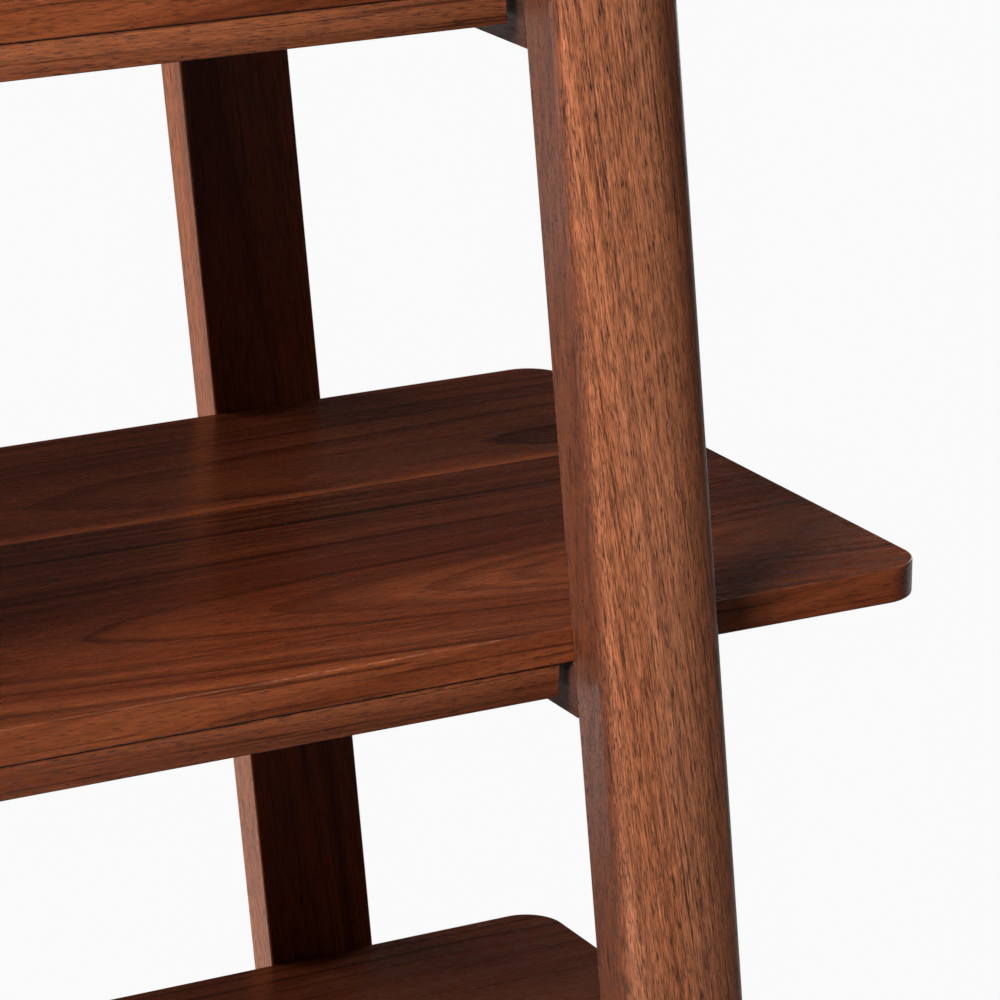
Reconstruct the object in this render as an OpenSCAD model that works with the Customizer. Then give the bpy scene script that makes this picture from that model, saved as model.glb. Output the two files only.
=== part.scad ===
// A-frame ladder shelf: two leaning side frames carry a stack of identical boards.
// Millimetres, +Z up, +X to the right, the front faces -Y.
// Origin: centre of the footprint of the whole object, on the floor.

/* [Boards] */
// Length of each shelf board, left to right
board_w = 916; // [800:1:1200]
// Depth of each shelf board, front to back
board_d = 412; // [340:1:460]
// Thickness of each shelf board
board_t = 19; // [18:0.5:25]
// Radius of a board's corners, seen from above
board_corner_r = 24; // [10:1:60]
// Number of shelf boards
board_count = 5; // [3:1:5]
// Height of the lowest board's top face above the floor
first_board_z = 165; // [120:1:220]
// Height from one board's top face to the next
board_pitch = 347; // [300:1:380]

/* [Side frames] */
// Lean of the posts towards the middle, in degrees
lean = 5.15; // [0:0.05:6]
// Distance from the middle of the object to a post's inner face, at the floor
foot_spread = 321; // [300:1:360]
// Height of the posts' tops above the highest board's top face
post_rise = 110; // [40:1:300]
// Width of a front post
front_post_w = 69; // [50:0.5:80]
// Thickness of a front post, front to back
front_post_t = 38; // [32:0.5:50]
// Radius of the two rounded front corners of a front post
front_post_r = 10; // [6:0.5:14]
// Bulge of a front post's crowned front face
front_post_crown = 4; // [1:0.25:5]
// Width of a back post
back_post_w = 67; // [50:0.5:80]
// Thickness of a back post, front to back
back_post_t = 27; // [22:0.5:38]
// Gap between a board's edge and the posts
board_gap = 0.5; // [0.3:0.1:2]

/* [Rails and aprons] */
// Height of a side rail under its board
rail_h = 30.5; // [26:0.5:45]
// Height of an apron under its board
apron_h = 17.6; // [14:0.2:24]
// Thickness of an apron, front to back
apron_t = 19; // [16:0.5:25]
// Setback of an apron from the board's long edge
apron_setback = 1; // [1:0.5:20]
// Gap between an apron's end and the side rail
apron_end_gap = 7; // [4:1:30]

/* [Joinery and feet] */
// Diameter of the rail dowels
dowel_dia = 10; // [8:1:12]
// Distance between the two dowels at a rail's end
dowel_spacing = 34; // [28:1:36]
// Diameter of the glide under each post
glide_dia = 24; // [20:1:26]
// Height of the glide under each post
glide_h = 5; // [4:0.5:8]
// Distance of each wall bracket from the middle
bracket_x = 110; // [60:1:130]

/* [Hidden] */
levels = [for (i = [1:board_count]) i];
sides = ["left", "right"];

walnut = "#5a3120";
dark_walnut = "#4a2417";
beech = "#c9a878";
nylon = "#2b2624";
steel = "#8d8f92";
brass = "#b08d4a";

top_z = first_board_z + (board_count - 1) * board_pitch + post_rise;
// The front post is thicker than the back one, so the boards sit behind the middle of the footprint.
board_y = (front_post_t - back_post_t) / 2;
front_face_y = board_y - board_d / 2 - board_gap;
back_face_y = board_y + board_d / 2 + board_gap;
wall_y = back_face_y + back_post_t;
rail_w = back_post_w / cos(lean);
apron_clear_z = board_t + apron_h;

rail_screw_y = 140;
screw_r = 3;
screw_head_r = 6;
screw_head_h = 4.5;
counterbore_r = 7;
counterbore_h = 6;
insert_r = 5;
insert_h = 13;
fit_gap = 0.03;
dowel_in_post = 16;
dowel_in_rail = 20;
apron_screw_r = 2;
apron_screw_head_r = 4;
apron_screw_head_h = 2.4;
apron_screw_up = 12;
apron_screw_count = 3;
apron_screw_inset = 0.82;
glide_inset = 34;
nail_r = 1.4;
nail_head_r = 4;
nail_head_h = 1.2;
nail_l = 22;
bracket_w = 40;
bracket_t = 2.5;
bracket_drop = 32;
bracket_hole_r = 2.75;
bracket_hole_drop = 20;
bracket_screw_l = 14;
bracket_screw_spacing = 22;
$fn = 48;

function board_z(i) = first_board_z + (i - 1) * board_pitch;
// Inner face of the leaning posts and rails at a height above the floor
function inner_x(z) = foot_spread - z * tan(lean);
function apron_l(i) = 2 * (inner_x(board_z(i) - board_t) - apron_end_gap);
function rail_mid_x(i) = inner_x(board_z(i) - board_t - rail_h / 2) + rail_w / 2;
function side_sign(s) = s == "left" ? -1 : 1;
function apron_screw_xs(i) =
    [for (k = [0:apron_screw_count - 1])
        (k / (apron_screw_count - 1) - 0.5) * apron_l(i) * apron_screw_inset];

module for_side(s) {
    if (s == "left") mirror([1, 0, 0]) children();
    else children();
}

// A shape repeated at both sides of the object
module both_sides() {
    for (s = sides) for_side(s) children();
}

module rounded_rect(w, d, r) {
    square([w - 2 * r, d], center = true);
    square([w, d - 2 * r], center = true);
    for (x = [-1, 1], y = [-1, 1])
        translate([x * (w / 2 - r), y * (d / 2 - r)]) circle(r, $fn = 96);
}

// Section of a front post: flat back at y = 0, straight sides, round corners, crowned front at y = -t.
// Its inner face lies on x = 0.
module front_post_section() {
    w = front_post_w;
    r = front_post_r;
    c = front_post_crown;
    half = w / 2 - r;
    shoulder_y = -(front_post_t - c - r);
    crown_r = (half * half + c * c) / (2 * c) + r;
    // The crown and a corner meet at this distance from the middle, where they share a tangent.
    reach = half * crown_r / (crown_r - r);
    translate([0, shoulder_y]) square([w, -shoulder_y]);
    translate([w / 2, shoulder_y]) for (x = [-half, half]) translate([x, 0]) circle(r, $fn = 96);
    intersection() {
        translate([w / 2, -front_post_t + crown_r]) circle(crown_r, $fn = 360);
        translate([w / 2 - reach, -front_post_t - c]) square([2 * reach, front_post_t]);
    }
}

module back_post_section() {
    square([back_post_w, back_post_t]);
}

// A leaning bar with level ends, whose inner face crosses the floor plane at foot_spread
module leaning_bar() {
    reach = top_z + 200;
    intersection() {
        translate([foot_spread, 0, 0]) rotate([0, -lean, 0])
            translate([0, 0, -100]) linear_extrude(reach) children();
        translate([0, -300, glide_h]) cube([600, 900, top_z - glide_h]);
    }
}

module screw(head_r, head_h, r, l) {
    rotate_extrude() polygon([[0, 0], [head_r - 0.6, 0], [head_r, 0.6], [head_r, head_h],
        [r, head_h], [r, l - 1.5], [r - 1, l], [0, l]]);
}

module dowel_places() {
    for (i = levels, k = [-0.5, 0.5])
        translate([rail_mid_x(i) + k * dowel_spacing, 0, board_z(i) - board_t - rail_h / 2]) children();
}

// Positions of the two screws through one rail, on the right-hand side
module rail_screw_places(i) {
    for (y = [-1, 1])
        translate([rail_mid_x(i), board_y + y * rail_screw_y, board_z(i) - board_t - rail_h]) children();
}

module apron_screw_places(i, y) {
    for (x = apron_screw_xs(i))
        translate([x, y, board_z(i) - apron_clear_z]) children();
}

function front_apron_y() = board_y - board_d / 2 + apron_setback + apron_t / 2;
function back_apron_y() = board_y + board_d / 2 - apron_setback - apron_t / 2;

module foot_places(s) {
    for_side(s) for (y = [front_face_y - front_post_t / 2, back_face_y + back_post_t / 2])
        translate([inner_x(0) + glide_inset, y, 0]) children();
}

module nail_hole() {
    cylinder(r = nail_r, h = nail_l);
}

module shelf_board(i) {
    color(walnut) difference() {
        translate([0, board_y, board_z(i) - board_t])
            linear_extrude(board_t) rounded_rect(board_w, board_d, board_corner_r);
        both_sides() rail_screw_places(i) translate([0, 0, rail_h - 1]) cylinder(r = insert_r, h = insert_h + 1);
        for (y = [front_apron_y(), back_apron_y()]) apron_screw_places(i, y)
            translate([0, 0, apron_h - 1]) cylinder(r = apron_screw_r, h = apron_screw_up + 1);
    }
}

module apron(i, y) {
    difference() {
        translate([-apron_l(i) / 2, y - apron_t / 2, board_z(i) - apron_clear_z])
            cube([apron_l(i), apron_t, apron_h]);
        apron_screw_places(i, y) {
            translate([0, 0, -1]) cylinder(r = apron_screw_r + fit_gap, h = apron_h + 2);
            translate([0, 0, -1]) cylinder(r = apron_screw_head_r + 0.3, h = apron_screw_head_h + 1.6);
        }
    }
}

module front_apron(i) {
    color(walnut) apron(i, front_apron_y());
}

module back_apron(i) {
    color(walnut) difference() {
        apron(i, back_apron_y());
        if (i == board_count) both_sides() bracket_screw_places()
            translate([0, 0, -1]) cylinder(r = apron_screw_r, h = bracket_screw_l + 1);
    }
}

module side_rail(i, s) {
    z1 = board_z(i) - board_t;
    z0 = z1 - rail_h;
    color(dark_walnut) for_side(s) difference() {
        translate([0, back_face_y, 0]) rotate([90, 0, 0])
            linear_extrude(back_face_y - front_face_y) polygon([[inner_x(z0), z0],
                [inner_x(z0) + rail_w, z0], [inner_x(z1) + rail_w, z1], [inner_x(z1), z1]]);
        rail_screw_places(i) {
            translate([0, 0, -1]) cylinder(r = screw_r + 0.3, h = rail_h + 2);
            translate([0, 0, -1]) cylinder(r = counterbore_r, h = counterbore_h + 1);
        }
        dowel_places() for (y = [front_face_y - 1, back_face_y - dowel_in_rail])
            translate([0, y, 0]) rotate([-90, 0, 0]) cylinder(d = dowel_dia, h = dowel_in_rail + 1);
    }
}

module front_post(s) {
    color(walnut) for_side(s) difference() {
        leaning_bar() translate([0, front_face_y]) front_post_section();
        dowel_places() translate([0, front_face_y - dowel_in_post, 0]) rotate([-90, 0, 0])
            cylinder(d = dowel_dia, h = dowel_in_post + 1);
        translate([inner_x(0) + glide_inset, front_face_y - front_post_t / 2, 0]) nail_hole();
    }
}

module back_post(s) {
    color(dark_walnut) for_side(s) difference() {
        leaning_bar() translate([0, back_face_y]) back_post_section();
        dowel_places() translate([0, back_face_y - 1, 0]) rotate([-90, 0, 0])
            cylinder(d = dowel_dia, h = dowel_in_post + 1);
        translate([inner_x(0) + glide_inset, back_face_y + back_post_t / 2, 0]) nail_hole();
    }
}

// A round pad with eased edges and a recess for the nail's head
module glide() {
    r = glide_dia / 2;
    rotate_extrude($fn = 64) polygon([[nail_head_r + 0.3, 0], [r - 1.5, 0], [r, 1.5], [r, glide_h],
        [nail_r + 0.1, glide_h], [nail_r + 0.1, 3], [nail_head_r + 0.3, 3]]);
}

module front_glide(s) {
    color(nylon) for_side(s)
        translate([inner_x(0) + glide_inset, front_face_y - front_post_t / 2, 0]) glide();
}

module back_glide(s) {
    color(nylon) for_side(s)
        translate([inner_x(0) + glide_inset, back_face_y + back_post_t / 2, 0]) glide();
}

module glide_nails() {
    color(steel) for (s = sides) foot_places(s) translate([0, 0, 3 - nail_head_h]) {
        cylinder(r = nail_head_r, h = nail_head_h);
        cylinder(r = nail_r - fit_gap, h = nail_l - 3);
    }
}

module rail_dowels() {
    l = dowel_in_post + dowel_in_rail - 2;
    color(beech) both_sides() dowel_places()
        for (y = [front_face_y - dowel_in_post + 1, back_face_y - dowel_in_rail + 1])
            translate([0, y, 0]) rotate([-90, 0, 0]) cylinder(d = dowel_dia - 2 * fit_gap, h = l);
}

module board_screws() {
    color(steel) both_sides() for (i = levels) rail_screw_places(i)
        translate([0, 0, counterbore_h - screw_head_h])
            screw(screw_head_r, screw_head_h, screw_r - fit_gap, rail_h - counterbore_h + screw_head_h + 11);
}

module board_inserts() {
    color(brass) both_sides() for (i = levels) rail_screw_places(i)
        translate([0, 0, rail_h + 0.3]) difference() {
            cylinder(r = insert_r - fit_gap, h = insert_h - 0.6);
            translate([0, 0, -1]) cylinder(r = screw_r, h = insert_h + 2);
        }
}

module apron_screws() {
    l = apron_h + apron_screw_up - 2;
    color(steel) for (i = levels, y = [front_apron_y(), back_apron_y()])
        apron_screw_places(i, y) translate([0, 0, 0.6])
            screw(apron_screw_head_r, apron_screw_head_h, apron_screw_r - fit_gap, l);
}

// Positions of one wall bracket's two screws, on the right-hand side
module bracket_screw_places() {
    for (k = [-0.5, 0.5])
        translate([bracket_x + k * bracket_screw_spacing, back_apron_y(), board_z(board_count) - apron_clear_z])
            children();
}

module wall_bracket(s) {
    z = board_z(board_count) - apron_clear_z - bracket_t;
    y0 = back_apron_y() - apron_t / 2;
    color(steel) for_side(s) difference() {
        translate([bracket_x - bracket_w / 2, y0, z - bracket_drop]) difference() {
            cube([bracket_w, wall_y - y0, bracket_t + bracket_drop]);
            translate([-1, -1, -1]) cube([bracket_w + 2, wall_y - y0 - bracket_t + 1, bracket_drop + 1]);
        }
        bracket_screw_places() translate([0, 0, -bracket_t - 1])
            cylinder(r = apron_screw_r + 0.2, h = bracket_t + 2);
        translate([bracket_x, wall_y - bracket_t - 1, z - bracket_hole_drop]) rotate([-90, 0, 0])
            cylinder(r = bracket_hole_r, h = bracket_t + 2);
    }
}

module bracket_screws() {
    color(steel) both_sides() bracket_screw_places()
        translate([0, 0, -bracket_t - apron_screw_head_h])
            screw(apron_screw_head_r, apron_screw_head_h, apron_screw_r - fit_gap,
                bracket_t + apron_screw_head_h + bracket_screw_l - 2);
}

for (i = levels) {
    shelf_board(i);
    front_apron(i);
    back_apron(i);
    for (s = sides)
        side_rail(i, s);
}
for (s = sides) {
    front_post(s);
    back_post(s);
    front_glide(s);
    back_glide(s);
    wall_bracket(s);
}
glide_nails();
rail_dowels();
board_screws();
board_inserts();
apron_screws();
bracket_screws();
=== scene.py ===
"""Ladder shelf in oiled walnut: two leaning side frames that carry five boards.

The CAD frame gives every place. The wooden parts are rebuilt here with eased edges and their own
grain axes. The small hardware keeps the CAD's shapes and gets its materials. Metres, +Z up, with
the front to -Y.
"""

import math
import random

import bmesh
import bpy
from mathutils import Matrix, Vector


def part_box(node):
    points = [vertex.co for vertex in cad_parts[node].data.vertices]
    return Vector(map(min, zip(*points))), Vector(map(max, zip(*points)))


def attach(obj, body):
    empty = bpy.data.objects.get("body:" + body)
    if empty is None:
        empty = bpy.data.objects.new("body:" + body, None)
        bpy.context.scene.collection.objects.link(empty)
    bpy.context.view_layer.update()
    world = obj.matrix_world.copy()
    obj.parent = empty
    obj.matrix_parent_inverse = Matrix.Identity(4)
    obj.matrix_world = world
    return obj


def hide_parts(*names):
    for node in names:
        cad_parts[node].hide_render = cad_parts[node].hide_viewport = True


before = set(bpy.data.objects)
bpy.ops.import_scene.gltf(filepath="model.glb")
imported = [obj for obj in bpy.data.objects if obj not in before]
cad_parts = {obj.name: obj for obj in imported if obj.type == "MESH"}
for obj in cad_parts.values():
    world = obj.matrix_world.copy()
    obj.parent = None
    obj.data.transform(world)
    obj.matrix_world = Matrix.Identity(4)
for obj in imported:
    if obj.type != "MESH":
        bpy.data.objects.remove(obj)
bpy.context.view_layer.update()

BODY = "root"
LEVELS = range(1, 6)
SIDES = {"left": -1, "right": 1}

# Joinery sizes that the frame's boxes don't give
LEAN = math.radians(5.15)
FRONT_POST_W = 0.069
FRONT_POST_R = 0.010
FRONT_POST_CROWN = 0.004
BACK_POST_W = 0.067
BOARD_CORNER_R = 0.024

# How far the sharp edges of the wood are eased, and the angles past which an edge is a sharp one
BOARD_EASE = 0.0011
POST_EASE = 0.0015
RAIL_EASE = 0.0006
EASE_ANGLE = math.radians(40)
SHADE_ANGLE = math.radians(32)

# The edges of a rail or apron that are eased: longer and sharper than those round its holes
OUTER_LENGTH = 0.014
OUTER_ANGLE = 1.2

# Straight steps in a board's corner or a post's dome, and in a post's rounded edge
CURVE_STEPS = 24
POST_EDGE_STEPS = 16

# How far the grain runs off the line of a post
FRONT_SLANT = math.radians(-4.0)
BACK_SLANT = math.radians(-1.0)

# The camera: place, turn towards +X, downward pitch, roll and lens
CAMERA_PLACE = (-0.8918, -2.2087, 1.6762)
CAMERA_TURN = math.radians(28.605)
CAMERA_PITCH = math.radians(18.026)
CAMERA_ROLL = math.radians(0.148)
CAMERA_LENS = 176.4

# The floor disc, how far it lies below the feet, and the distances where it has faded out and
# where it is whole
FLOOR_RADIUS = 1.3
FLOOR_DROP = 0.0002
FLOOR_FADED = 1.2
FLOOR_WHOLE = 0.4
FLOOR_GLOW = 0.38
FLOOR_GRAIN = (6.0, 6.0, 6.0)

# Where the lights point
SHELF_MIDDLE = (0.1, 0, 0.85)
KEY_AIM = (0.22, -0.2, 0.86)


# ---------------------------------------------------------------- mesh helpers


def middle(lo, hi):
    return (Vector(lo) + Vector(hi)) / 2


def axes(x_axis, z_axis, origin):
    """A placing matrix with the given local X and Z directions."""
    x, z = Vector(x_axis).normalized(), Vector(z_axis).normalized()
    turn = Matrix((x, z.cross(x), z)).transposed()
    return Matrix.Translation(origin) @ turn.to_4x4()


def loft(bottom, top):
    """A closed bmesh between two outlines with the same number of points."""
    bm = bmesh.new()
    lower = [bm.verts.new(p) for p in bottom]
    upper = [bm.verts.new(p) for p in top]
    bm.faces.new(lower)
    bm.faces.new(upper)
    for i in range(len(lower)):
        j = (i + 1) % len(lower)
        bm.faces.new((lower[i], lower[j], upper[j], upper[i]))
    return bm


def arc(centre, radius, start, end, steps):
    """Points on a circle, from one angle to another, in degrees."""
    turns = [math.radians(start + (end - start) * i / steps) for i in range(steps + 1)]
    return [(centre[0] + radius * math.cos(a), centre[1] + radius * math.sin(a)) for a in turns]


def piece_from(name, bm, place, nodes, material):
    """A bmesh in the row frame becomes a piece whose own axes are those of place."""
    bmesh.ops.recalc_face_normals(bm, faces=bm.faces)
    bm.transform(place.inverted())
    mesh = bpy.data.meshes.new(name)
    bm.to_mesh(mesh)
    bm.free()
    for polygon in mesh.polygons:
        polygon.use_smooth = True
    mesh.set_sharp_from_angle(angle=SHADE_ANGLE)
    piece = bpy.data.objects.new(name, mesh)
    bpy.context.collection.objects.link(piece)
    piece.matrix_world = place
    mesh.materials.append(material)
    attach(piece, BODY)
    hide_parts(*nodes)
    return piece


def ease(piece, width, segments=3):
    """Rounds the sharp edges by that width."""
    bevel = piece.modifiers.new("eased_edges", "BEVEL")
    bevel.width = width
    bevel.segments = segments
    bevel.limit_method = "ANGLE"
    bevel.angle_limit = EASE_ANGLE
    bevel.harden_normals = True


# ---------------------------------------------------------------- node helpers


class Graph:
    """Adds nodes to a tree. An input is a number, a tuple or another node's output."""

    def __init__(self, tree):
        self.tree = tree

    def add(self, kind, inputs=(), out=0, **settings):
        node = self.tree.nodes.new(kind)
        for key, value in settings.items():
            setattr(node, key, value)
        for key, value in dict(inputs).items():
            self.feed(node.inputs[key], value)
        return node.outputs[out]

    def feed(self, socket, value):
        if isinstance(value, bpy.types.NodeSocket):
            self.tree.links.new(value, socket)
        else:
            socket.default_value = value

    def math(self, operation, a, b=0.0):
        return self.add("ShaderNodeMath", {0: a, 1: b}, operation=operation)

    def plus(self, a, b):
        return self.math("ADD", a, b)

    def minus(self, a, b):
        return self.math("SUBTRACT", a, b)

    def times(self, a, b):
        return self.math("MULTIPLY", a, b)

    def about_zero(self, noise):
        """Noise from 0 to 1, moved to lie about 0."""
        return self.minus(noise, 0.5)

    def scale(self, vector, factors):
        return self.add("ShaderNodeVectorMath", {0: vector, 1: factors}, operation="MULTIPLY")

    def shift(self, vector, offset):
        return self.add("ShaderNodeVectorMath", {0: vector, 1: offset}, operation="ADD")

    def turn(self, vector, angle):
        """Turns a vector about Z."""
        given = {"Vector": vector, "Angle": angle}
        return self.add("ShaderNodeVectorRotate", given, rotation_type="Z_AXIS")

    def split(self, vector):
        node = self.tree.nodes.new("ShaderNodeSeparateXYZ")
        self.feed(node.inputs[0], vector)
        return node.outputs[0], node.outputs[1], node.outputs[2]

    def join(self, x, y, z):
        return self.add("ShaderNodeCombineXYZ", {0: x, 1: y, 2: z})

    def noise(self, vector, scale=1.0, detail=2.0, roughness=0.5, distortion=0.0):
        return self.add(
            "ShaderNodeTexNoise",
            {
                "Vector": vector,
                "Scale": scale,
                "Detail": detail,
                "Roughness": roughness,
                "Distortion": distortion,
            },
        )

    def step(self, value, start, end, low=0.0, high=1.0):
        """Goes smoothly from low to high while value goes from start to end."""
        return self.add(
            "ShaderNodeMapRange",
            {0: value, 1: start, 2: end, 3: low, 4: high},
            interpolation_type="SMOOTHSTEP",
        )

    def blend(self, factor, a, b, mode="MIX"):
        """Mixes two colours."""
        return self.add(
            "ShaderNodeMix", {0: factor, 6: a, 7: b}, out=2, data_type="RGBA", blend_type=mode
        )

    def between(self, factor, a, b):
        """Mixes two numbers."""
        return self.add("ShaderNodeMix", {0: factor, 2: a, 3: b}, data_type="FLOAT")

    def tint(self, colour, factor, warm=1.0, deep=1.0):
        """Multiplies a colour. Powers above 1 make a darker tone a warmer one as well."""
        green = factor if warm == 1.0 else self.math("POWER", factor, warm)
        blue = factor if deep == 1.0 else self.math("POWER", factor, deep)
        return self.blend(1.0, colour, self.join(factor, green, blue), "MULTIPLY")


def tone(red, green, blue):
    """A colour given as 8-bit display values, for the shader."""

    def linear(value):
        value /= 255
        return value / 12.92 if value <= 0.04045 else ((value + 0.055) / 1.055) ** 2.4

    return (linear(red), linear(green), linear(blue), 1.0)


def grey(value):
    return (value, value, value, 1.0)


def material_named(name):
    """A new material, its graph and its Principled shader."""
    material = bpy.data.materials.new(name)
    material.use_nodes = True
    tree = material.node_tree
    return material, Graph(tree), tree.nodes["Principled BSDF"]


# ---------------------------------------------------------------- walnut


# How walnut is drawn, with some light and shade painted in. Ring is the width of a year's growth,
# Pith Y and Pith Z are the place of the log's middle and Tilt Y and Tilt Z its slope. Seam is the
# glue line between two staves, and the band inputs place a band of painted shade. A piece has none
# of either when they lie 1 m off.
FIGURE_INPUTS = (
    "Across", "Seed", "Ring", "Pith Y", "Pith Z", "Tilt Y", "Tilt Z", "Waviness",
    "Seam", "Seam Glow", "Pores", "Growth", "Streaks", "Lines", "Fibre",
    "Side Painted Light", "Side Start", "Shade Band Y", "Shade Band Reach", "Shade Band Tone", "Fineness", "Polish",
)
TONE_INPUTS = ("Light", "Middle", "Dark")

# Fineness of the grain, as noise scales along and across it, per metre
WANDER_GRAIN = (1.1, 5.0, 5.0)
RIPPLE_GRAIN = (6.0, 28.0, 28.0)
RIPPLE_DEPTH = 0.0034
FIBRE_GRAIN = (40.0, 900.0, 900.0)
FLECK_GRAIN = (75.0, 420.0, 420.0)
STREAK_GRAIN = (7.0, 330.0, 330.0)
PORE_GRAIN = (140.0, 1600.0, 1600.0)

# What the stave behind the seam has other than the one in front. Its greater brightness is partly
# lighter wood and partly painted light on the back of a board.
STAVE_SEED = 17.3
STAVE_PITH_Y = 0.21
STAVE_PITH_Z = -0.14
STAVE_CALM = 0.35
STAVE_BRIGHTNESS = 1.5

# Width of the lighter wood along the seam, and how bright it gets
GLOW_WIDTH = 0.014
GLOW_LIFT = 0.9

# Tone of a pore, as a share of the dark wood's, and how it shows as relief
PORE_TONE = (0.45, 0.40, 0.40)
PORE_DEPTH = 0.00025
PORE_STRENGTH = 0.55


def add_sockets(tree, way, kind, names):
    for name in names:
        tree.interface.new_socket(name, in_out=way, socket_type="NodeSocket" + kind)


def walnut_group():
    """The figure of walnut, with light and shade painted on the side faces and in a band, in a
    piece's own axes: X runs along the grain, in metres.
    """
    tree = bpy.data.node_groups.new("walnut_figure_and_painted_light", "ShaderNodeTree")
    add_sockets(tree, "INPUT", "Vector", ["Coord"])
    add_sockets(tree, "INPUT", "Float", FIGURE_INPUTS)
    add_sockets(tree, "INPUT", "Color", TONE_INPUTS)
    add_sockets(tree, "OUTPUT", "Color", ["Color"])
    add_sockets(tree, "OUTPUT", "Float", ["Gloss", "Height"])
    g = Graph(tree)
    given = tree.nodes.new("NodeGroupInput").outputs
    x, y, z = g.split(given["Coord"])

    # A glued board has two staves, cut from different places in the log
    stave = g.math("GREATER_THAN", y, given["Seam"])
    seed = g.plus(given["Seed"], g.times(stave, STAVE_SEED))
    pith_y = g.plus(given["Pith Y"], g.times(stave, STAVE_PITH_Y))
    pith_z = g.plus(given["Pith Z"], g.times(stave, STAVE_PITH_Z))
    calm = g.between(stave, 1.0, STAVE_CALM)

    seeded = g.shift(given["Coord"], g.join(seed, g.times(seed, 1.7), seed))
    wander = g.noise(g.scale(seeded, WANDER_GRAIN), detail=2.0)
    ripple = g.noise(g.scale(seeded, RIPPLE_GRAIN), detail=3.0)
    sway = g.times(g.times(g.about_zero(wander), given["Waviness"]), calm)
    jitter = g.times(g.about_zero(ripple), RIPPLE_DEPTH)

    # Distance from the pith, whose axis is tilted to the grain
    dy = g.plus(g.minus(y, pith_y), g.times(x, given["Tilt Y"]))
    tilt_z = g.times(g.times(x, given["Tilt Z"]), calm)
    dz = g.plus(g.minus(z, pith_z), tilt_z)
    reach = g.math("SQRT", g.plus(g.times(dy, dy), g.times(dz, dz)))
    years = g.math("DIVIDE", g.plus(g.plus(reach, sway), jitter), given["Ring"])

    # Broad colour bands, single dark growth lines and the fine lines between them
    slow = g.times(x, 0.9)
    band = g.noise(g.join(slow, g.times(years, 0.22), seed), detail=2.0)
    line = g.noise(g.join(slow, g.times(years, 0.9), seed), detail=2.0, roughness=0.6)
    hair = g.noise(g.join(g.times(x, 2.5), g.times(years, 4.0), seed), detail=2.0)
    phase = g.math("FRACT", years)
    late = g.times(g.math("POWER", phase, 5.0), g.step(line, 0.62, 0.40))

    # Fibre, streaks and pores lie along the grain whatever the rings do
    grain = g.scale(seeded, g.join(1.0, given["Fineness"], given["Fineness"]))
    fibre = g.noise(g.scale(grain, FIBRE_GRAIN), detail=3.0, roughness=0.65)
    fleck = g.noise(g.scale(grain, FLECK_GRAIN), detail=3.0, roughness=0.6)
    streak = g.noise(g.scale(grain, STREAK_GRAIN), detail=4.0, roughness=0.6)
    pore = g.noise(g.scale(grain, PORE_GRAIN), detail=2.0, roughness=0.5)
    crowd = g.times(g.step(phase, 0.9, 0.1), 0.05)
    pore = g.step(g.plus(pore, crowd), 0.56, 0.68)

    # The faces across the width show the rings edge on, so their growth is calmer. The same mask
    # carries the light and shade painted on those faces below.
    normal = g.add("ShaderNodeTexCoord", out=1)
    side = g.step(g.math("ABSOLUTE", g.split(normal)[1]), given["Side Start"], 1.0)
    growth = g.times(given["Growth"], g.between(side, 1.0, 0.25))

    # The three tones, laid by bands, growth lines and streaks
    spread = g.times(g.step(band, 0.32, 0.68), calm)
    colour = g.blend(spread, given["Middle"], given["Light"])
    ringed = g.times(g.step(line, 0.50, 0.30), calm)
    colour = g.blend(g.times(ringed, growth), colour, given["Dark"])
    colour = g.blend(g.times(late, growth), colour, given["Dark"])
    thin = g.step(streak, 0.44, 0.33)
    colour = g.blend(g.times(thin, given["Streaks"]), colour, given["Dark"])

    # Brightness from the fibres, as a factor about 1, raised on the second stave partly as painted
    # light
    rough = g.times(g.plus(g.about_zero(fibre), g.about_zero(fleck)), given["Fibre"])
    lined = g.times(g.about_zero(hair), given["Lines"])
    shade = g.plus(g.between(stave, 1.02, STAVE_BRIGHTNESS), g.plus(rough, lined))
    colour = g.tint(colour, shade)

    # Lighter wood along the seam, on the second stave
    past = g.minus(y, given["Seam"])
    glow = g.times(g.math("POWER", g.step(past, GLOW_WIDTH, 0.0), 1.6), stave)
    glow = g.times(glow, given["Seam Glow"])
    colour = g.blend(glow, colour, given["Light"])
    colour = g.tint(colour, g.plus(1.0, g.times(glow, GLOW_LIFT)))

    # Painted light and shade on the faces across the width: lighter on a board's edges and a back
    # post's sides, darker on a front post's sides, and warmer where darker
    colour = g.tint(colour, g.between(side, 1.0, given["Side Painted Light"]), warm=1.18, deep=1.3)

    # Painted shade: a darker band along the piece, along one long side of a front post and across
    # the middle of a board's top
    off = g.plus(g.minus(given["Across"], given["Shade Band Y"]), g.times(sway, 0.25))
    off = g.math("DIVIDE", g.math("ABSOLUTE", off), given["Shade Band Reach"])
    band_shade = g.between(g.step(off, 1.0, 0.25), 1.0, given["Shade Band Tone"])
    colour = g.tint(colour, band_shade, warm=1.25, deep=1.5)

    # Open pores are dark, less glossy and sunk
    holes = g.times(pore, given["Pores"])
    colour = g.blend(holes, colour, g.scale(given["Dark"], PORE_TONE))
    gloss = g.plus(given["Polish"], g.times(holes, 0.25))
    gloss = g.plus(gloss, g.times(g.about_zero(fibre), 0.22))
    height = g.minus(g.times(fibre, 0.25), holes)

    leave = tree.nodes.new("NodeGroupOutput")
    g.feed(leave.inputs["Color"], colour)
    g.feed(leave.inputs["Gloss"], gloss)
    g.feed(leave.inputs["Height"], height)
    return tree


WALNUT = walnut_group()


def three_tones(light, middle, dark):
    """The figure's three tones, from 8-bit display values."""
    return dict(zip(TONE_INPUTS, (tone(*light), tone(*middle), tone(*dark))))


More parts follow.
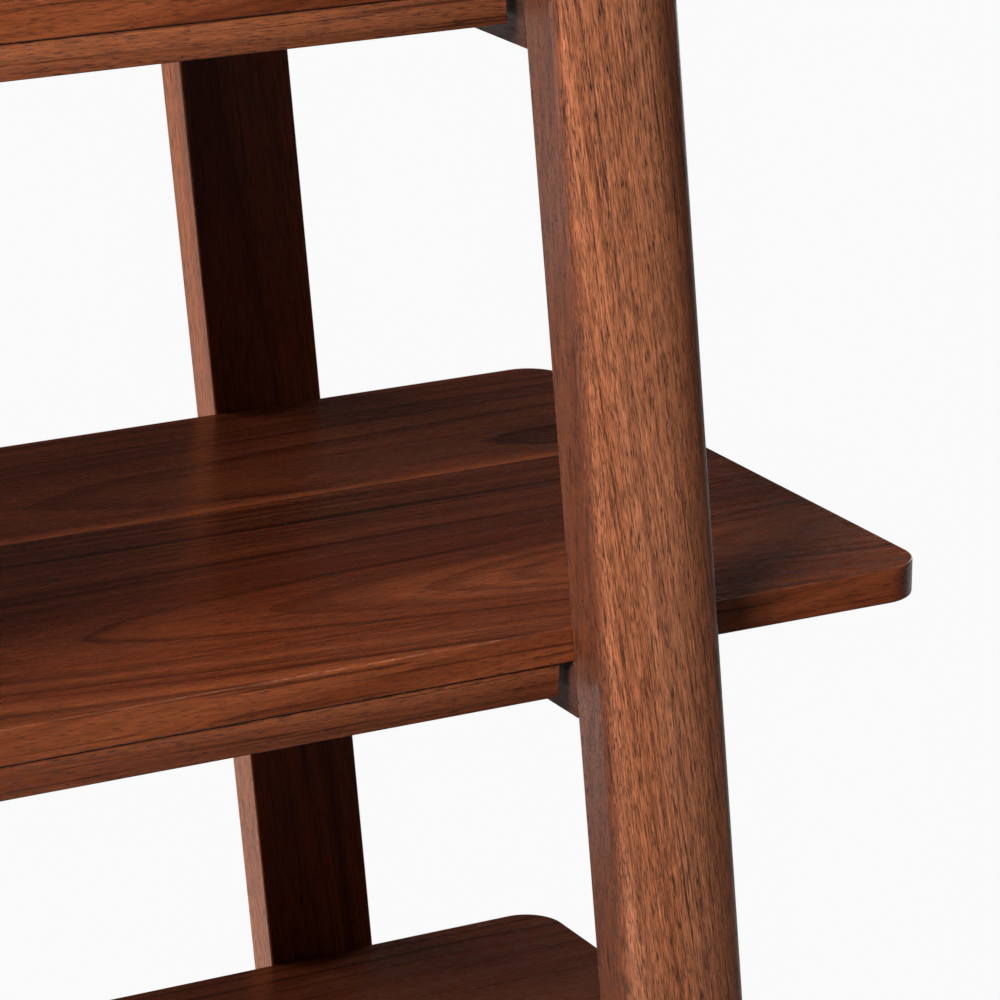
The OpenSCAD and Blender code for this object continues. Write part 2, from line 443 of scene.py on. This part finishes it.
BOARD_TONES = three_tones((126, 64, 34), (92, 39, 17), (44, 14, 4))
EDGE_TONES = three_tones((146, 82, 50), (112, 55, 31), (54, 22, 10))
POST_TONES = three_tones((178, 113, 80), (160, 94, 61), (62, 27, 14))
BACK_TONES = three_tones((150, 74, 34), (118, 54, 22), (66, 24, 9))
# Rails get darker tones than the other wood, as painted shade on their inner faces
RAIL_SHADED_TONES = three_tones((78, 40, 25), (60, 30, 18), (38, 16, 9))

# In the figures below, the side faces' tone factor paints light above 1 and shade below 1, and the
# band's tone below 1 paints shade.
BOARD_FIGURE = {
    "Ring": 0.0060, "Pith Y": -0.110, "Pith Z": -0.075, "Tilt Y": 0.05, "Tilt Z": -0.06,
    "Waviness": 0.022,
    "Seam": 0.046, "Seam Glow": 1.0,
    "Growth": 0.95, "Lines": 0.8, "Fibre": 0.75, "Streaks": 0.7, "Pores": 0.55,
    "Side Painted Light": 1.38, "Side Start": 0.7,
    "Shade Band Y": -0.030, "Shade Band Reach": 0.110, "Shade Band Tone": 0.50,
    "Fineness": 1.3, "Polish": 0.26,
}
EDGE_FIGURE = {
    "Ring": 0.0050, "Pith Y": 0.030, "Pith Z": -0.060, "Tilt Y": 0.01, "Tilt Z": 0.03,
    "Waviness": 0.010,
    "Seam": 1.0, "Seam Glow": 0.0,
    "Growth": 0.45, "Lines": 0.7, "Fibre": 0.8, "Streaks": 0.75, "Pores": 0.7,
    "Side Painted Light": 1.0, "Side Start": 0.9,
    "Shade Band Y": 1.0, "Shade Band Reach": 0.030, "Shade Band Tone": 1.0,
    "Fineness": 1.6, "Polish": 0.28,
}
POST_FIGURE = {
    "Ring": 0.0050, "Pith Y": -0.060, "Pith Z": -0.050, "Tilt Y": 0.0, "Tilt Z": 0.01,
    "Waviness": 0.007,
    "Seam": 1.0, "Seam Glow": 0.0,
    "Growth": 0.35, "Lines": 0.6, "Fibre": 2.2, "Streaks": 0.75, "Pores": 0.95,
    "Side Painted Light": 0.34, "Side Start": 0.50,
    "Shade Band Y": -0.0345, "Shade Band Reach": 0.0335, "Shade Band Tone": 0.55,
    "Fineness": 2.2, "Polish": 0.31,
}
RAIL_FIGURE = {**EDGE_FIGURE, "Polish": 0.48}
BACK_FIGURE = {
    "Ring": 0.0060, "Pith Y": 0.020, "Pith Z": -0.055, "Tilt Y": 0.01, "Tilt Z": 0.02,
    "Waviness": 0.012,
    "Seam": 1.0, "Seam Glow": 0.0,
    "Growth": 0.6, "Lines": 0.8, "Fibre": 1.0, "Streaks": 0.6, "Pores": 0.6,
    "Side Painted Light": 2.5, "Side Start": 0.85,
    "Shade Band Y": 1.0, "Shade Band Reach": 0.030, "Shade Band Tone": 1.0,
    "Fineness": 1.2, "Polish": 0.30,
}


def walnut(name, tones, figure, lean=0.0, slant=0.0):
    """Walnut for one piece, with the light and shade that its figure paints in. The seed comes
    from its name.

    lean turns the piece's long axis to local X; slant then turns the grain off that axis.
    """
    material, g, shader = material_named(name)
    coord = g.turn(g.add("ShaderNodeTexCoord", out=3), lean)
    group = g.tree.nodes.new("ShaderNodeGroup")
    group.node_tree = WALNUT
    g.feed(group.inputs["Across"], g.split(coord)[1])
    g.feed(group.inputs["Coord"], g.turn(coord, slant))
    for key, value in {**tones, **figure}.items():
        group.inputs[key].default_value = value
    group.inputs["Seed"].default_value = random.Random(name).uniform(0, 40)
    bump = g.add(
        "ShaderNodeBump",
        {"Height": group.outputs["Height"], "Distance": PORE_DEPTH, "Strength": PORE_STRENGTH},
    )
    g.feed(shader.inputs["Base Color"], group.outputs["Color"])
    g.feed(shader.inputs["Roughness"], group.outputs["Gloss"])
    g.feed(shader.inputs["Normal"], bump)
    return material


# ---------------------------------------------------------------- wooden pieces


def shelf_board(level):
    """A board with rounded corners."""
    node = f"shelf_board_{level}"
    lo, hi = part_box(node)
    corners = ((1, 1, 0), (-1, 1, 90), (-1, -1, 180), (1, -1, 270))
    half = (hi - lo) / 2
    centre = middle(lo, hi)
    outline = []
    for sx, sy, start in corners:
        at = (
            centre.x + sx * (half.x - BOARD_CORNER_R),
            centre.y + sy * (half.y - BOARD_CORNER_R),
        )
        outline += arc(at, BOARD_CORNER_R, start, start + 90, CURVE_STEPS)
    bm = loft([(x, y, lo.z) for x, y in outline], [(x, y, hi.z) for x, y in outline])
    material = walnut(f"walnut_board_{level}", BOARD_TONES, BOARD_FIGURE)
    place = axes((1, 0, 0), (0, 0, 1), centre)
    piece = piece_from(f"board_{level}", bm, place, [node], material)
    ease(piece, BOARD_EASE)


def front_post_outline(thickness):
    """Domed front, straight sides and flat back, as (across, forward) from the back's middle."""
    half = FRONT_POST_W / 2 - FRONT_POST_R
    crown = FRONT_POST_CROWN
    crown_r = (half**2 + crown**2) / (2 * crown) + FRONT_POST_R
    shoulder = thickness - crown - FRONT_POST_R
    spread = math.degrees(math.asin(half / (crown_r - FRONT_POST_R)))
    corner = 90 - spread
    points = [(-FRONT_POST_W / 2, 0), (FRONT_POST_W / 2, 0)]
    points += arc((half, shoulder), FRONT_POST_R, 0, corner, POST_EDGE_STEPS)
    points += arc((0, thickness - crown_r), crown_r, corner, 180 - corner, CURVE_STEPS)[1:-1]
    points += arc((-half, shoulder), FRONT_POST_R, 180 - corner, 180, POST_EDGE_STEPS)
    return points


def leaning_piece(name, node, side, outline, width, back_y, material):
    """A post with level ends. The outline is (across, forward) from the middle of its back."""
    lo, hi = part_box(node)
    sign = SIDES[side]
    foot = max(abs(lo.x), abs(hi.x)) - width / math.cos(LEAN) / 2

    def ring(z):
        mid_x = foot - (z - lo.z) * math.tan(LEAN)
        return [(sign * (mid_x + u / math.cos(LEAN)), back_y - v, z) for u, v in outline]

    bm = loft(ring(lo.z), ring(hi.z))
    place = axes((0, 0, 1), (0, -1, 0), middle(lo, hi))
    piece = piece_from(name, bm, place, [node], material)
    ease(piece, POST_EASE)


def front_post(side):
    node = f"front_post_{side}"
    lo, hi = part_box(node)
    outline = front_post_outline(hi.y - lo.y)
    lean = -SIDES[side] * LEAN
    material = walnut(f"walnut_front_{side}", POST_TONES, POST_FIGURE, lean, FRONT_SLANT)
    leaning_piece(
        f"post_front_{side}", node, side, outline, FRONT_POST_W, hi.y, material
    )


def back_post(side):
    node = f"back_post_{side}"
    lo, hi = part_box(node)
    half, deep = BACK_POST_W / 2, hi.y - lo.y
    outline = [(-half, 0), (half, 0), (half, deep), (-half, deep)]
    lean = -SIDES[side] * LEAN
    material = walnut(f"walnut_back_{side}", BACK_TONES, BACK_FIGURE, lean, BACK_SLANT)
    leaning_piece(
        f"post_back_{side}", node, side, outline, BACK_POST_W, hi.y, material
    )


def eased_copy(name, node, grain, material):
    """A rebuilt copy of a CAD part with its screw holes, its long edges rounded."""
    lo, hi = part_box(node)
    bm = bmesh.new()
    bm.from_mesh(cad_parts[node].data)
    # The CAD's triangles become whole faces
    bmesh.ops.remove_doubles(bm, verts=bm.verts, dist=1e-5)
    bmesh.ops.dissolve_limit(bm, angle_limit=math.radians(0.5), verts=bm.verts, edges=bm.edges)
    outer = [
        edge
        for edge in bm.edges
        if edge.calc_length() > OUTER_LENGTH and edge.calc_face_angle(0) > OUTER_ANGLE
    ]
    bmesh.ops.bevel(bm, geom=outer, offset=RAIL_EASE, segments=2, profile=0.5, affect="EDGES")
    return piece_from(name, bm, axes(grain, (0, 0, 1), middle(lo, hi)), [node], material)


def aprons(level):
    for where in ("front", "back"):
        node = f"{where}_apron_{level}"
        material = walnut(f"walnut_apron_{where}_{level}", EDGE_TONES, EDGE_FIGURE)
        eased_copy(f"apron_{where}_{level}", node, (1, 0, 0), material)


def rails(level):
    for side in SIDES:
        node = f"side_rail_{level}_{side}"
        material = walnut(f"walnut_rail_{level}_{side}", RAIL_SHADED_TONES, RAIL_FIGURE)
        eased_copy(f"rail_{level}_{side}", node, (0, 1, 0), material)


# ---------------------------------------------------------------- hardware


# Grain of the plain materials, as noise scales
MOULDED_GRAIN = (900.0, 900.0, 900.0)
PLATED_GRAIN = (500.0, 2500.0, 500.0)
TURNED_GRAIN = (2500.0, 500.0, 500.0)
BEECH_GRAIN = (40.0, 900.0, 900.0)
CLOUD_GRAIN = (60.0, 60.0, 60.0)
PLAIN_RELIEF = 0.0001


def grained(name, low, high, stretch, rough, metal=0.0):
    """A plain material whose colour, gloss and relief vary between two tones, by its grain."""
    material, g, shader = material_named(name)
    coord = g.add("ShaderNodeTexCoord", out=3)
    grain = g.noise(g.scale(coord, stretch), detail=4.0, roughness=0.6)
    cloud = g.noise(g.scale(coord, CLOUD_GRAIN), detail=3.0)
    worn = g.plus(g.times(grain, 0.6), g.times(cloud, 0.4))
    g.feed(shader.inputs["Base Color"], g.blend(g.step(worn, 0.35, 0.65), low, high))
    g.feed(shader.inputs["Roughness"], g.between(worn, rough - 0.10, rough + 0.14))
    bump = g.add("ShaderNodeBump", {"Height": grain, "Distance": PLAIN_RELIEF})
    g.feed(shader.inputs["Normal"], bump)
    shader.inputs["Metallic"].default_value = metal
    return material


def hardware():
    """The CAD's own shapes, each in its material."""
    nylon = grained("glide_nylon", tone(52, 48, 46), tone(70, 66, 63), MOULDED_GRAIN, 0.5)
    zinc = grained(
        "zinc_plate", tone(176, 180, 186), tone(214, 216, 218), PLATED_GRAIN, 0.32, metal=1.0
    )
    beech = grained("beech_dowel", tone(196, 158, 112), tone(222, 190, 148), BEECH_GRAIN, 0.6)
    brass = grained(
        "turned_brass", tone(196, 152, 84), tone(228, 190, 118), TURNED_GRAIN, 0.3, metal=1.0
    )
    made_of = {
        "glide_nails": zinc, "board_screws": zinc, "apron_screws": zinc, "bracket_screws": zinc,
        "rail_dowels": beech, "board_inserts": brass,
    }
    for side in SIDES:
        made_of[f"front_glide_{side}"] = made_of[f"back_glide_{side}"] = nylon
        made_of[f"wall_bracket_{side}"] = zinc
    for node, material in made_of.items():
        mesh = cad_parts[node].data
        mesh.materials.clear()
        mesh.materials.append(material)


# ---------------------------------------------------------------- stage


def floor():
    """A pale disc that fades into the white surroundings."""
    bpy.ops.mesh.primitive_circle_add(vertices=128, radius=FLOOR_RADIUS, fill_type="NGON")
    disc = bpy.context.object
    disc.name = "floor"
    disc.location.z = -FLOOR_DROP
    material, g, shader = material_named("floor_paper")
    coord = g.add("ShaderNodeTexCoord", out=3)
    mottle = g.noise(g.scale(coord, FLOOR_GRAIN), detail=4.0)
    g.feed(shader.inputs["Base Color"], g.blend(mottle, grey(0.88), grey(0.92)))
    shader.inputs["Roughness"].default_value = 0.9
    shader.inputs["Specular IOR Level"].default_value = 0.1
    shader.inputs["Emission Color"].default_value = grey(1.0)
    shader.inputs["Emission Strength"].default_value = FLOOR_GLOW
    x, y, _ = g.split(coord)
    distance = g.math("SQRT", g.plus(g.times(x, x), g.times(y, y)))
    g.feed(shader.inputs["Alpha"], g.step(distance, FLOOR_FADED, FLOOR_WHOLE))
    disc.data.materials.append(material)


def soft_light(name, turn, rise, distance, size, power, aim, spread=180):
    """An area light, in watts and degrees. turn goes from the front towards the left."""
    data = bpy.data.lights.new(name, "AREA")
    data.shape = "RECTANGLE"
    data.size, data.size_y = size
    data.energy = power
    data.spread = math.radians(spread)
    lamp = bpy.data.objects.new(name, data)
    bpy.context.collection.objects.link(lamp)
    a, e = math.radians(turn), math.radians(rise)
    away = Vector((-math.sin(a) * math.cos(e), -math.cos(a) * math.cos(e), math.sin(e)))
    lamp.location = Vector(aim) + away * distance
    lamp.rotation_euler = away.to_track_quat("Z", "Y").to_euler()


def surroundings():
    """The world: white for the camera, dim for matt light, and patches for gloss to catch."""
    world = bpy.data.worlds.new("studio")
    bpy.context.scene.world = world
    world.use_nodes = True
    world.node_tree.nodes.clear()
    g = Graph(world.node_tree)
    across, depth, height = g.split(g.add("ShaderNodeTexCoord", out=0))
    below = g.step(height, 0.05, -0.12)
    behind = g.step(depth, -0.1, 0.3)
    matt = g.blend(below, grey(0.035), (0.12, 0.115, 0.11, 1))

    # Gloss sees a dark room above. Below the horizon it sees light, at the left in front and
    # low down behind.
    room = g.blend(behind, grey(0.02), grey(0.025))
    near = g.blend(g.step(across, 0.1, -0.4), grey(0.03), grey(0.32))
    far = g.blend(g.step(height, -0.15, -0.45), (0.24, 0.23, 0.22, 1), (0.80, 0.78, 0.76, 1))
    gloss = g.blend(below, room, g.blend(behind, near, far))

    ray = g.tree.nodes.new("ShaderNodeLightPath").outputs
    unseen = g.blend(ray["Is Glossy Ray"], matt, gloss)
    colour = g.blend(ray["Is Camera Ray"], unseen, grey(0.956))
    glow = g.add("ShaderNodeBackground", {"Color": colour, "Strength": 1.0})
    end = g.tree.nodes.new("ShaderNodeOutputWorld")
    g.feed(end.inputs["Surface"], glow)


def camera():
    data = bpy.data.cameras.new("camera")
    data.lens = CAMERA_LENS
    data.sensor_width = 36
    data.clip_end = 50
    eye = bpy.data.objects.new("camera", data)
    bpy.context.collection.objects.link(eye)
    turn = Matrix.Rotation(-CAMERA_TURN, 4, "Z")
    tip = Matrix.Rotation(math.pi / 2 - CAMERA_PITCH, 4, "X")
    roll = Matrix.Rotation(CAMERA_ROLL, 4, "Z")
    eye.matrix_world = Matrix.Translation(CAMERA_PLACE) @ turn @ tip @ roll
    bpy.context.scene.camera = eye


def stage():
    surroundings()
    floor()
    soft_light("key", 60, 38, 2.1, (0.8, 0.8), 6, KEY_AIM, spread=40)
    soft_light("left_fill", 110, 5, 2.6, (0.7, 1.6), 24, SHELF_MIDDLE)
    soft_light("back_fill", 138, 42, 2.4, (1.0, 1.0), 16, SHELF_MIDDLE)
    soft_light("edge_light", -44, 50, 2.2, (0.4, 0.4), 5, SHELF_MIDDLE)
    soft_light("rim_light", -118, 12, 2.4, (0.6, 1.6), 9, SHELF_MIDDLE)
    camera()
    bpy.context.scene.view_settings.view_transform = "Standard"


# ---------------------------------------------------------------- build

for level in LEVELS:
    shelf_board(level)
    aprons(level)
    rails(level)
for side in SIDES:
    front_post(side)
    back_post(side)
hardware()
stage()
